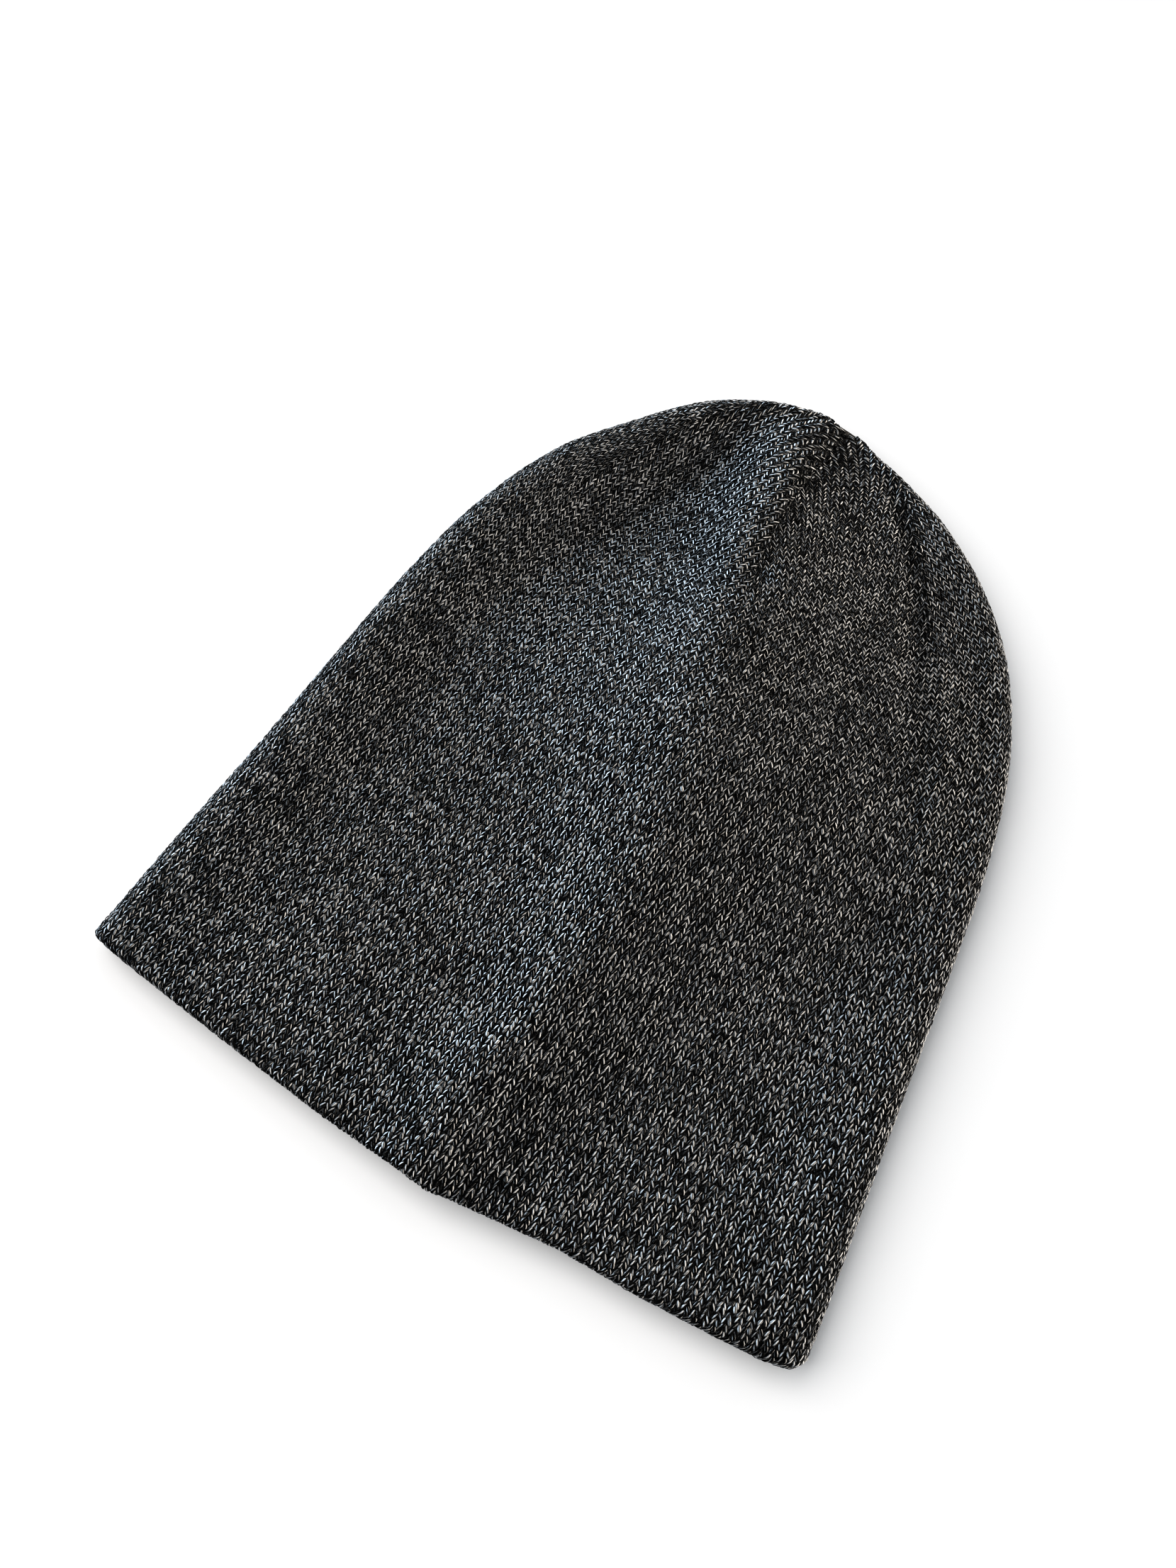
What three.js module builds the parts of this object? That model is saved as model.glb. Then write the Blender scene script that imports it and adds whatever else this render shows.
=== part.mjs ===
import * as THREE from "three";

// A fine-knit watch cap lying flat. It is one piece: a double-layer knit tube whose rim is a smooth
// fold, pressed into an upper and an under side, and drawn together at the crown by six darts.
// Millimetres, +Z up, +X across the cap, +Y from the mouth to the tip. The origin is on the surface
// that the cap lies on, under the middle of its bounding box. The tables below measure y from the
// line through the two mouth corners, and the finished mesh is moved onto the origin at the end.

// Driving dimensions
const WALL = 3;
const RIM_Y = -10.5;
const TIP = { x: 0, y: 290.5, z: 6.6 };
const INNER_END_Y = 270;
const INNER_TIP = { x: -1, y: 276, z: 7 };
const UNDER_SETBACK = 5;
const UNDER_SETBACK_REACH = 22;
const RIM_LINE_REACH = 110;
const MIN_FOLD_RADIUS = 0.4;
// The under side lies flat from this share of its half width, and the upper side's relief is whole
// where the dome has come to this share of its rise.
const UNDER_LEVEL_SHARE = 0.12;
const RELIEF_WHOLE_SHARE = 0.625;

// The knit's rows from the rim to the tip, each an arc across the cap.
// y: where the row crosses the middle. left, right: its lengths to the side folds. bend: the arc's
// radius. top, under: heights of the two sides in the middle. fold: height of the side folds.
// radius: outer radius of the side folds, which stand a little above the upper side. share: how far
// the upper side takes to sink from them to its own height, as a share of the half width.
const ROWS = [
  { y: -10.5, left: 106, right: 106, bend: 750, top: 12.5, under: 0, fold: 6.2, radius: 5.6, share: 0.27 },
  { y: 0, left: 105.5, right: 106, bend: 700, top: 12.8, under: 0, fold: 6.8, radius: 6.3, share: 0.27 },
  { y: 25, left: 105, right: 105.5, bend: 600, top: 12.8, under: 0, fold: 7.1, radius: 6.6, share: 0.27 },
  { y: 60, left: 104, right: 105, bend: 500, top: 12.8, under: 0, fold: 7.4, radius: 7, share: 0.27 },
  { y: 100, left: 104, right: 105, bend: 370, top: 12.8, under: 0, fold: 7.6, radius: 7.4, share: 0.27 },
  { y: 130, left: 104, right: 104.5, bend: 280, top: 12.6, under: 0, fold: 7.7, radius: 7.5, share: 0.27 },
  { y: 160, left: 102, right: 101, bend: 200, top: 12.2, under: 0, fold: 7.8, radius: 7.6, share: 0.32 },
  { y: 190, left: 94.5, right: 91, bend: 140, top: 12.2, under: 0, fold: 7.8, radius: 7.5, share: 0.38 },
  { y: 215, left: 81, right: 76, bend: 95, top: 12.2, under: 0, fold: 7.7, radius: 7, share: 0.45 },
  { y: 240, left: 65, right: 55, bend: 60, top: 12.2, under: 0.2, fold: 7.5, radius: 6.4, share: 0.45 },
  { y: 262, left: 43, right: 32, bend: 33, top: 11.8, under: 0.6, fold: 7.1, radius: 5.5, share: 0.4 },
  { y: 276, left: 25, right: 16, bend: 18, top: 10.8, under: 1.6, fold: 6.9, radius: 4.3, share: 0.35 },
  { y: 284, left: 14, right: 8.3, bend: 10, top: 9.6, under: 3, fold: 6.8, radius: 2.8, share: 0.3 },
  { y: 289, left: 4, right: 2.8, bend: 5, top: 8, under: 5, fold: 6.8, radius: 1.2, share: 0.3 },
];

// The rim's edge seen from above. lead: how far it lies behind the foremost point.
const RIM_LINE = [
  { x: -106, lead: 11.5 },
  { x: -98, lead: 9.7 },
  { x: -76, lead: 7.1 },
  { x: -50, lead: 4.4 },
  { x: -25, lead: 2 },
  { x: 0, lead: 0.4 },
  { x: 8, lead: -0.3 },
  { x: 14, lead: 0.8 },
  { x: 26, lead: 2.2 },
  { x: 42, lead: 4 },
  { x: 65, lead: 4.3 },
  { x: 85, lead: 5.5 },
  { x: 98, lead: 6.6 },
  { x: 104, lead: 8.5 },
  { x: 106, lead: 11.5 },
];

// The long soft crease along the upper side, and the broad swelling that it lies on. x: the crest.
// left, right: how far its flanks spread.
const CREASE = [
  { y: -10, x: 2, height: 1, left: 11, right: 9 },
  { y: 20, x: 4, height: 2.8, left: 12, right: 12 },
  { y: 40, x: 9, height: 3, left: 12, right: 11 },
  { y: 60, x: 11, height: 2.5, left: 15, right: 14 },
  { y: 80, x: 13, height: 2.3, left: 17, right: 16 },
  { y: 100, x: 12, height: 1.8, left: 21, right: 18 },
  { y: 120, x: 8, height: 1.8, left: 22, right: 24 },
  { y: 140, x: 2, height: 1.8, left: 20, right: 28 },
  { y: 160, x: -4, height: 2.8, left: 14, right: 28 },
  { y: 180, x: -6, height: 4.5, left: 12, right: 28 },
  { y: 200, x: -9, height: 4.2, left: 12, right: 32 },
  { y: 220, x: -14, height: 4.6, left: 11, right: 28 },
  { y: 240, x: -16, height: 4.8, left: 10, right: 20 },
  { y: 255, x: -16, height: 4.4, left: 9, right: 15 },
  { y: 265, x: -15, height: 3.2, left: 8, right: 12 },
  { y: 275, x: -13, height: 2.2, left: 7, right: 10 },
  { y: 289, x: -6, height: 0.4, left: 5, right: 6 },
];
const SWELLING = [
  { y: 20, x: 10, height: 0, left: 34, right: 40 },
  { y: 40, x: 10, height: 0.4, left: 34, right: 40 },
  { y: 60, x: 12, height: 1.8, left: 34, right: 56 },
  { y: 80, x: 13, height: 2.6, left: 34, right: 56 },
  { y: 100, x: 12, height: 4.2, left: 40, right: 50 },
  { y: 120, x: 12, height: 6.8, left: 46, right: 52 },
  { y: 140, x: 10, height: 8.4, left: 46, right: 62 },
  { y: 160, x: 10, height: 8.6, left: 34, right: 68 },
  { y: 180, x: 8, height: 8.8, left: 27, right: 68 },
  { y: 200, x: 7, height: 8.4, left: 23, right: 62 },
  { y: 220, x: 1, height: 6.2, left: 20, right: 54 },
  { y: 240, x: 0, height: 4.4, left: 19, right: 50 },
  { y: 255, x: 0, height: 3, left: 16, right: 38 },
  { y: 268, x: 0, height: 1.2, left: 12, right: 22 },
  { y: 280, x: 0, height: 0, left: 10, right: 16 },
];

// The three darts on the upper side, from where each begins to the tip. step: how much higher the
// knit stands on the dart's left than on its right, as a share of its depth.
const DARTS = [
  {
    step: 0.4,
    path: [
      { y: 165, x: 2, depth: 0, spread: 9 },
      { y: 190, x: 0, depth: 0.3, spread: 7 },
      { y: 205, x: -2, depth: 0.6, spread: 5 },
      { y: 246, x: -2.7, depth: 0.9, spread: 4 },
      { y: 275, x: -2, depth: 1, spread: 3.6 },
      { y: 290, x: -1, depth: 0.5, spread: 2.6 },
    ],
  },
  {
    step: 0.45,
    path: [
      { y: 180, x: -66, depth: 0, spread: 11 },
      { y: 204, x: -57, depth: 0.9, spread: 10 },
      { y: 225, x: -50, depth: 1.3, spread: 9 },
      { y: 247, x: -43, depth: 1.5, spread: 8 },
      { y: 268, x: -37, depth: 1.3, spread: 6 },
      { y: 287, x: -32, depth: 1, spread: 4 },
    ],
  },
  {
    step: 0.2,
    path: [
      { y: 165, x: 63, depth: 0, spread: 8 },
      { y: 195, x: 60, depth: 0.5, spread: 6 },
      { y: 228, x: 46, depth: 0.9, spread: 5 },
      { y: 261, x: 28, depth: 1.1, spread: 4.5 },
      { y: 281, x: 15, depth: 0.8, spread: 4 },
      { y: 288, x: 6, depth: 0.3, spread: 3 },
    ],
  },
];
const STEP_SPREAD = 12;

// Where the gathered knit stands up between two darts.
const PUFFS = [{ x: -22, y: 272, height: 1, across: 17, along: 16 }];

// Mesh resolution
const TOP_SEGMENTS = 64;
const UNDER_SEGMENTS = 32;
const FOLD_CROWDING = 1.25;
const OUTER_SPACING = { body: 12.5, crown: 7.5, tip: 4 };
const INNER_SPACING = { body: 19, crown: 12, tip: 8 };
const CROWN_Y = 165;
const NEAR_TIP_Y = 262;
const RIM_TURNS = 3;

// The value of one column at a place along a table, on a smooth curve through its rows.
function along(table, key, column, at) {
  const last = table.length - 1;
  const place = THREE.MathUtils.clamp(at, table[0][key], table[last][key]);
  let i = 0;
  while (i < last - 1 && table[i + 1][key] <= place) {
    i += 1;
  }
  const slopeAt = (n) => {
    const before = table[Math.max(n - 1, 0)];
    const after = table[Math.min(n + 1, last)];
    return (after[column] - before[column]) / (after[key] - before[key]);
  };
  const span = table[i + 1][key] - table[i][key];
  const t = (place - table[i][key]) / span;
  const rise = 3 * t * t - 2 * t * t * t;
  return (
    (1 - rise) * table[i][column] +
    rise * table[i + 1][column] +
    t * (1 - t) * (1 - t) * span * slopeAt(i) -
    t * t * (1 - t) * span * slopeAt(i + 1)
  );
}

// The value of one column on straight lines between a table's rows.
function between(table, key, column, at) {
  const last = table.length - 1;
  const place = THREE.MathUtils.clamp(at, table[0][key], table[last][key]);
  let i = 0;
  while (i < last - 1 && table[i + 1][key] <= place) {
    i += 1;
  }
  const share = (place - table[i][key]) / (table[i + 1][key] - table[i][key]);
  return THREE.MathUtils.lerp(table[i][column], table[i + 1][column], share);
}

function bell(offset, spread) {
  return Math.exp(-((offset / spread) ** 2));
}

// The height that the crease, the swelling, the darts and the puffs add to the upper side.
function relief(x, y) {
  let z = 0;
  for (const ridge of [CREASE, SWELLING]) {
    const offset = x - along(ridge, "y", "x", y);
    const height = Math.max(along(ridge, "y", "height", y), 0);
    z += height * bell(offset, along(ridge, "y", offset < 0 ? "left" : "right", y));
  }
  for (const { step, path } of DARTS) {
    if (y > path[0].y) {
      const offset = x - along(path, "y", "x", y);
      const depth = Math.max(along(path, "y", "depth", y), 0);
      const spread = along(path, "y", "spread", y);
      z -= depth * bell(offset, spread);
      z -= depth * step * Math.tanh(offset / spread) * bell(offset, STEP_SPREAD);
    }
  }
  for (const puff of PUFFS) {
    z += puff.height * bell(x - puff.x, puff.across) * bell(y - puff.y, puff.along);
  }
  return z;
}

// A point of the flattened tube. around runs from -1 at the left fold over the upper side to 1 at
// the right fold, and on along the under side to 3. inset is the depth inside the outer face.
function knitPoint(around, rowY, inset) {
  const row = (column) => along(ROWS, "y", column, rowY);
  const upper = around <= 1;
  const side = upper ? around : 2 - around;
  const half = (side < 0 ? row("left") : row("right")) - inset;
  const radius = Math.max(row("radius") - inset, MIN_FOLD_RADIUS);
  const fold = row("fold");
  const quarter = (Math.PI / 2) * radius;
  const length = half + quarter - radius;
  const fromFold = (1 - Math.abs(side)) * length;
  const turn = Math.min(fromFold, quarter) / radius;
  const inside = fromFold < quarter ? radius * (1 - Math.cos(turn)) : fromFold - quarter + radius;
  const onward = THREE.MathUtils.clamp((fromFold - quarter) / (length - quarter), 0, 1);
  const sunk = Math.min(onward / row("share"), 1);
  const dome = sunk * sunk * (3 - 2 * sunk);
  const level = 1 - (1 - Math.min(onward / UNDER_LEVEL_SHARE, 1)) ** 2;

  const bend = row("bend");
  const angle = (Math.sign(side) * (half - inside)) / bend;
  const x = bend * Math.sin(angle);
  const lead = between(RIM_LINE, "x", "lead", x) - (x * x) / 2 / ROWS[0].bend;
  const toRim = rowY - RIM_Y;
  let y = rowY + bend * (1 - Math.cos(angle)) + lead * Math.exp(-toRim / RIM_LINE_REACH);
  let z = 0;
  if (upper) {
    z = fold + radius * Math.sin(turn) + (row("top") - inset - fold - radius) * dome;
    z += relief(x, y) * Math.min(dome / RELIEF_WHOLE_SHARE, 1);
  } else {
    y += UNDER_SETBACK * (1 - side ** 4) * Math.exp(-toRim / UNDER_SETBACK_REACH);
    const under = Math.max(row("under"), 0) + inset;
    z = fold - radius * Math.sin(turn) - (fold - radius - under) * level;
  }
  return new THREE.Vector3(x, y, z);
}

// Places around the tube, closer together towards the side folds.
function stationsAround() {
  const crowd = (t) => Math.sign(t) * (1 - (1 - Math.abs(t)) ** FOLD_CROWDING);
  const stations = [];
  for (let i = 0; i < TOP_SEGMENTS; i += 1) {
    stations.push(crowd((2 * i) / TOP_SEGMENTS - 1));
  }
  for (let i = 0; i < UNDER_SEGMENTS; i += 1) {
    stations.push(2 + crowd((2 * i) / UNDER_SEGMENTS - 1));
  }
  return stations;
}

// Row places from one y to another, closer together towards the tip.
function rowPlaces(from, to, spacing) {
  const stops = [from, CROWN_Y, NEAR_TIP_Y, to];
  const steps = [spacing.body, spacing.crown, spacing.tip];
  const places = [from];
  for (let part = 0; part < steps.length; part += 1) {
    const reach = stops[part + 1] - stops[part];
    const count = Math.max(Math.round(reach / steps[part]), 1);
    for (let i = 1; i <= count; i += 1) {
      places.push(stops[part] + (reach * i) / count);
    }
  }
  return places;
}

// The rings of the closed skin in order: the outer face from the tip to the rim, the rolled rim,
// and the inner face from the rim to the inner tip.
function skinRings(stations) {
  const rimStart = RIM_Y + WALL / 2;
  const ring = (rowY, inset) => stations.map((around) => knitPoint(around, rowY, inset));
  const outer = rowPlaces(rimStart, ROWS[ROWS.length - 1].y, OUTER_SPACING).map((y) => ring(y, 0));
  const inner = rowPlaces(rimStart, INNER_END_Y, INNER_SPACING).map((y) => ring(y, WALL));
  const rolled = [];
  for (let i = 1; i <= RIM_TURNS; i += 1) {
    const angle = (Math.PI * i) / (RIM_TURNS + 1);
    rolled.push(
      stations.map((_, n) => {
        const middle = outer[0][n].clone().lerp(inner[0][n], 0.5);
        const toOuter = outer[0][n].clone().sub(middle);
        const point = middle.addScaledVector(toOuter, Math.cos(angle));
        point.y -= (WALL / 2) * Math.sin(angle);
        return point;
      }),
    );
  }
  return [...outer.reverse(), ...rolled, ...inner];
}

function knitGeometry() {
  const stations = stationsAround();
  const rings = skinRings(stations);
  const count = stations.length;
  const points = [new THREE.Vector3(TIP.x, TIP.y, TIP.z), ...rings.flat()];
  points.push(new THREE.Vector3(INNER_TIP.x, INNER_TIP.y, INNER_TIP.z));
  const at = (ring, n) => 1 + ring * count + (n % count);
  const faces = [];
  for (let n = 0; n < count; n += 1) {
    faces.push(0, at(0, n), at(0, n + 1));
    for (let ring = 0; ring < rings.length - 1; ring += 1) {
      faces.push(at(ring, n), at(ring + 1, n), at(ring + 1, n + 1));
      faces.push(at(ring, n), at(ring + 1, n + 1), at(ring, n + 1));
    }
    faces.push(points.length - 1, at(rings.length - 1, n + 1), at(rings.length - 1, n));
  }
  const geometry = new THREE.BufferGeometry().setFromPoints(points);
  geometry.setIndex(faces);
  return geometry;
}

// Moves a geometry so that the middle of its box's underside is the origin.
function ontoOrigin(geometry) {
  geometry.computeBoundingBox();
  const { min, max } = geometry.boundingBox;
  geometry.translate(-(min.x + max.x) / 2, -(min.y + max.y) / 2, -min.z);
  geometry.computeVertexNormals();
  return geometry;
}

const marledKnit = new THREE.MeshStandardMaterial({
  color: 0x404141,
  roughness: 0.95,
  metalness: 0,
});

const knitCap = new THREE.Mesh(ontoOrigin(knitGeometry()), marledKnit);
knitCap.name = "knit_cap";

const watchCap = new THREE.Group();
watchCap.add(knitCap);

export default watchCap;
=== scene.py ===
"""A fine-knit watch cap lying flat: the ground of the knit, its stitches and the stage it lies on."""

import math

import bpy
import numpy as np
from bpy.props import FloatProperty, FloatVectorProperty, IntProperty, PointerProperty
from mathutils import Matrix, Vector


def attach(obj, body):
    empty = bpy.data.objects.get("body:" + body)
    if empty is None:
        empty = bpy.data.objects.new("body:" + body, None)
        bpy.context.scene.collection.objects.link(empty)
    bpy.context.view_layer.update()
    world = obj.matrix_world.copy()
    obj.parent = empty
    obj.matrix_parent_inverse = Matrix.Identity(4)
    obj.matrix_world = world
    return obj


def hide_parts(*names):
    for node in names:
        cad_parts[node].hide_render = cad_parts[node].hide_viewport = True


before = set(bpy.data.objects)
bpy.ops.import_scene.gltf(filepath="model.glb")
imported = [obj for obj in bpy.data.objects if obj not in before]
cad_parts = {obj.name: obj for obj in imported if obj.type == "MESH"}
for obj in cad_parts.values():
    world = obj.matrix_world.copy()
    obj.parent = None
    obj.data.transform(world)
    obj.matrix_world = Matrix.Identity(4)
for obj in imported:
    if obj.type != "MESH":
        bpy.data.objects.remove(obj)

bl_info = {
    "name": "Knit Watch Cap",
    "version": (1, 0, 0),
    "blender": (4, 5, 0),
    "location": "View3D > Sidebar > Watch Cap",
    "description": "Dresses a flat-lying watch cap in its marled jersey knit",
    "category": "Mesh",
}

MM = 0.001
NODE = "knit_cap"

# Sizes in millimetres: x across the cap to the right, y along it from the rim to the tip, z up. The outline
# and the wall are the solid's. The heights are a little lower than the solid's, whose upper side is raised
# to leave the hollow for the head open.
WALL = 3.0
ROLL = WALL / 2
RIM_Y = -10.5
TIP = (0.0, 290.5, 6.6)
INNER_END_Y = 270.0
INNER_TIP = (-1.0, 276.0, 7.0)
# The point of the tables at which the frame has its origin
ORIGIN = (0.04, 140.72, 0.0)
# How far the under side stands back from the rim's edge, and how far along the cap that dies away
UNDER_SETBACK = 5.0
UNDER_SETBACK_REACH = 22.0
# How far in from the folds the under side comes down, as a share of the way to the middle
UNDER_LEVEL_SHARE = 0.12
# How far along the cap the rows still follow the rim's line
RIM_LINE_REACH = 110.0
# Least radius of a side fold on the inner face
LEAST_RADIUS = 0.4
# How far a dart's step reaches to both sides, and how much sooner than the dome the relief comes in
STEP_SPREAD = 12.0
RELIEF_RISE = 1.6


def table(columns, *rows):
    """A short table as a dictionary of columns."""
    return dict(zip(columns.split(), np.array(rows, float).T))


# The knit's rows from the rim to the tip. left, right: half widths. bend: radius of the row's arc. top,
# under: heights of the two sides in the middle. fold, radius: height and radius of the side folds.
# shoulder: how far in the dome rises, as a share of the way to the middle.
ROWS = table(
    "y left right bend top under fold radius shoulder",
    (-10.5, 106, 106, 750, 10.2, 0, 5.2, 4.6, 0.27),
    (0, 105.5, 106, 700, 10.3, 0, 5.6, 5.1, 0.27),
    (25, 105, 105.5, 600, 10.3, 0, 5.9, 5.4, 0.27),
    (60, 104, 105, 500, 10.2, 0, 6.2, 5.8, 0.27),
    (100, 104, 105, 370, 10.1, 0, 6.4, 6.2, 0.27),
    (130, 104, 104.5, 280, 10, 0, 6.5, 6.3, 0.27),
    (160, 102, 101, 200, 9.6, 0, 6.6, 6.4, 0.32),
    (190, 94.5, 91, 140, 9.6, 0, 6.6, 6.3, 0.38),
    (215, 81, 76, 95, 9.7, 0, 6.5, 5.8, 0.45),
    (240, 65, 55, 60, 9.9, 0.2, 6.5, 5.4, 0.45),
    (262, 43, 32, 33, 10.2, 0.6, 6.6, 5, 0.4),
    (276, 25, 16, 18, 10, 1.6, 6.7, 4.1, 0.35),
    (284, 14, 8.3, 10, 9.4, 3, 6.8, 2.8, 0.3),
    (289, 4, 2.8, 5, 8, 5, 6.8, 1.2, 0.3),
)

# The rim's edge seen from above
RIM_LINE = table(
    "x lead",
    (-106, 11.5), (-98, 9.7), (-76, 7.1), (-50, 4.4), (-25, 2), (0, 0.4), (8, -0.3), (14, 0.8),
    (26, 2.2), (42, 4), (65, 4.3), (85, 5.5), (98, 6.6), (104, 8.5), (106, 11.5),
)

# The long soft crease along the upper side, and the broad swelling that it lies on. left, right: how far
# each falls off to both sides.
CREASE = table(
    "y x height left right",
    (-10, 2, 1, 11, 9),
    (20, 4, 2.3, 12, 12),
    (40, 9, 2.4, 12, 11),
    (60, 11, 2, 15, 14),
    (80, 13, 1.9, 17, 16),
    (100, 12, 1.6, 21, 18),
    (120, 8, 1.7, 22, 24),
    (140, 2, 1.8, 20, 28),
    (160, -4, 2.8, 14, 28),
    (180, -6, 4.7, 12, 28),
    (200, -9, 5.2, 11, 32),
    (220, -14, 5.9, 10, 28),
    (240, -17.5, 6.2, 9, 20),
    (255, -18.5, 5.6, 8, 15),
    (265, -18, 3.8, 7.5, 12),
    (275, -15.5, 2.6, 7, 10),
    (289, -6, 0.4, 5, 6),
)
SWELLING = table(
    "y x height left right",
    (20, 10, 0, 34, 40),
    (40, 10, 0.4, 34, 40),
    (60, 12, 1.8, 34, 56),
    (80, 13, 2.6, 34, 56),
    (100, 12, 4.2, 42, 50),
    (120, 12, 6.6, 50, 54),
    (140, 10, 7.8, 52, 66),
    (160, 10, 7.8, 50, 72),
    (180, 8, 7.8, 44, 72),
    (200, 7, 7.4, 36, 66),
    (220, 1, 5.8, 28, 58),
    (240, 0, 4.4, 22, 50),
    (255, 0, 3, 16, 38),
    (268, 0, 1.2, 12, 22),
    (280, 0, 0, 10, 16),
)

# The three darts on the upper side, middle, left and right
DART_MIDDLE = table(
    "y x depth spread",
    (165, 2, 0, 9), (190, 0, 0.5, 6), (205, -2, 1.1, 4.4), (246, -2.7, 1.8, 3.6), (275, -2, 1.8, 3.2),
    (290, -1, 0.5, 2.6),
)
DART_LEFT = table(
    "y x depth spread",
    (180, -68, 0, 11), (204, -60, 1.2, 10), (225, -54, 1.8, 9), (247, -48, 2, 8),
    (268, -42, 1.7, 6), (287, -35, 1, 4),
)
DART_RIGHT = table(
    "y x depth spread",
    (160, 63, 0, 7), (185, 61, 0.8, 4.5), (228, 46, 1.5, 3.8), (261, 28, 1.7, 3.6), (281, 15, 1, 3.4),
    (288, 6, 0.3, 3),
)
# How much the knit steps down across each dart from left to right, as a share of the dart's depth
DARTS = ((0.4, DART_MIDDLE), (0.45, DART_LEFT), (0.35, DART_RIGHT))
# Where the gathered knit stands up between two darts: x, y, height, and spread across and along the cap
PUFFS = ((-22, 272, 1, 17, 16),)

# How the knit is shared out: six gores, whose seams are the darts. Angles go round the knit in degrees from
# the middle of the upper side, and seam places go round the skin from -1 at the left fold over the upper
# side to 1 at the right fold and along the under side to 3.
GORES = 6
GORE_ANGLE = 360 / GORES
DART_START_Y = 188.0
# Where the gores would run out, and the least share of their width that is kept
GORE_END_Y = TIP[1] + 1
LEAST_GORE = 0.02
SEAMS = table(
    "y fold_left left middle right fold_right",
    (-10.5, -90, -0.667, 0, 0.667, 90),
    (120, -90, -0.667, 0.005, 0.66, 90),
    (160, -90, -0.69, 0.01, 0.655, 90),
    (190, -89, -0.76, 0, 0.655, 90),
    (215, -86, -0.77, -0.03, 0.66, 89),
    (240, -80, -0.8, -0.05, 0.69, 85),
    (262, -72, -0.88, -0.06, 0.8, 76),
    (276, -66, -0.93, -0.08, 0.88, 68),
    (289, -64, -0.95, -0.1, 0.9, 66),
)
# Distance between two rows of stitches along the cap, from the rim to the tip
ROW_SPACING = table(
    "y spacing",
    (-10, 1.41), (30, 1.5), (60, 1.55), (90, 1.63), (120, 1.75), (150, 1.9), (180, 1.94), (290, 1.85),
)
# Reach is the distance from the rim's edge over the outer face, and below nothing over the inner face. This
# is the last row's and the last ring's.
LAST_REACH = TIP[1] - RIM_Y - 3
# The ground's rings from the outer tip to the inner one, in stretches: reach at both ends, and their number
RINGS = (
    (LAST_REACH, 110, 66),
    (108, 4, 40),
    (2.4, -2.4, 9),
    (-4, -108, 30),
    (-112, RIM_Y - INNER_END_Y, 36),
)
# Steps round and along the skin to the neighbours that give its normal
STEP_ROUND = 0.004
STEP_ALONG = 0.25

# How a stitch's legs stand: where they begin and end, in wales from the column's middle, how far they swing
# out between, their length in rows, and how much wider, as a share, and higher the right leg is than the
# middle of the two. Towards the crown the slack knit spreads them.
LEGS = table(
    "y inner outer curl length lean",
    (-10, 0.1, 0.43, 0.2, 1.45, 0),
    (100, 0.09, 0.43, 0.3, 1.45, 0.01),
    (180, 0.02, 0.48, 1, 1.25, 0),
    (225, 0.05, 0.45, 0.6, 1.35, 0.02),
    (290, 0.08, 0.43, 0.3, 1.4, 0.03),
)
# Sections of a leg between its two ends, fewer on the two gores that are wholly underneath
LEG_SECTIONS = 3
UNDER_SECTIONS = 2
UNDER_GORES = (2, 3)
# How much of a half wave is left off at both ends of a leg, for its arch and for its width
ARCH_CUT = 0.08
WIDTH_CUT = 0.16
# How unevenly legs lie, each times a normal chance that is held within two: place and slant in wales, place
# in rows, width as a share, and height
UNEVEN = (0.04, 0.09, 0.14, 0.1, 0.06)
UNEVEN_LIMIT = 2
LEG_SEED = 100
# Where a leg's three sides end when they are laid out flat: two flanks and the hidden back
LEG_SIDES = (0.0, 0.4, 0.8, 1.0)
# How far past its gore's edge a stitch may stand, in wales
EDGE_WALES = 0.1
# Free edges of the maps that a bake uses, as shares of a leg's cell and of the ground's whole map
CELL_MARGIN = 0.06
MAP_MARGIN = 0.01

# How the yarn's paleness changes along it: how much, and over how many stitches. Then how much by whole
# rows, and how strongly all of it shows.
TONE_SPANS = ((0.3, 1), (0.35, 3), (0.3, 9))
TONE_BY_ROW = 0.12
TONE_CONTRAST = 0.3
TONE_SEED = 7
# Painted shade at the rim's edge, where the knit rolls under: how much less pale its stitches are
# painted, and over how many rows
RIM_PAINTED_SHADE = 0.1
RIM_PAINTED_SHADE_ROWS = 2.0
# The same painted shade for the stitches that are drawn into a dart's crease: how much, over how many
# wales, and how far from the dart's beginning it takes to show
DART_PAINTED_SHADE = 0.24
DART_PAINTED_SHADE_WALES = 1.2
DART_PAINTED_SHADE_START = 12.0

# The yarn's material: how far a leg's own chance shifts its strands, how strongly pale and black strands
# take turns, fibres to a millimetre across and along, and numbers that spread a leg's chance in the noises
STRAND_SHIFT = 1.6
STRAND_TURNS = 1.7
FIBRES_ACROSS = 9.0
FIBRES_ALONG = 1.3
NOISE_SPREAD = 511.0
FIBRE_SPREAD = 97.0
# Bounds of a share's rise, and of what it rises from and to where that isn't from nothing to one: a strand's
# excess over chance, the duller strands, a strand's edge, the fibres, and the painted shade of a leg's ends
PALE_BOUNDS = (-0.06, 0.06)
DULL_BOUNDS = (0.0, 0.8, 0.6, 1.0)
STRAND_BOUNDS = (0.02, 0.6)
FIBRE_BOUNDS = (0.25, 0.7, 0.5, 1.0)
LEG_END_SHADE_BOUNDS = (0.22, 0.46, 1.0, 0.0)
# The same for the ground: a leg's edge, painted black as the shade of the gaps between stitches, and its
# tone by chance, kept at most half pale as painted shade under the stitches, with how many rows its chevrons
# climb in a wale
GROUND_GAP_SHADE_BOUNDS = (0.15, 0.8)
GROUND_TONE_AND_SHADE_BOUNDS = (0.2, 1.0, 0.05, 0.5)
GROUND_CLIMB = 2.2

# The stage: half the floor's side in metres, how much lighter its mottling is, and the camera's film width
FLOOR_REACH = 4.0
FLOOR_LIGHTER = 1.02
FILM_WIDTH = 36.0


def smooth(t):
    """The smoothstep: from nothing to one with level ends, three squares less two cubes."""
    return t * t * (3 - 2 * t)


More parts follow.
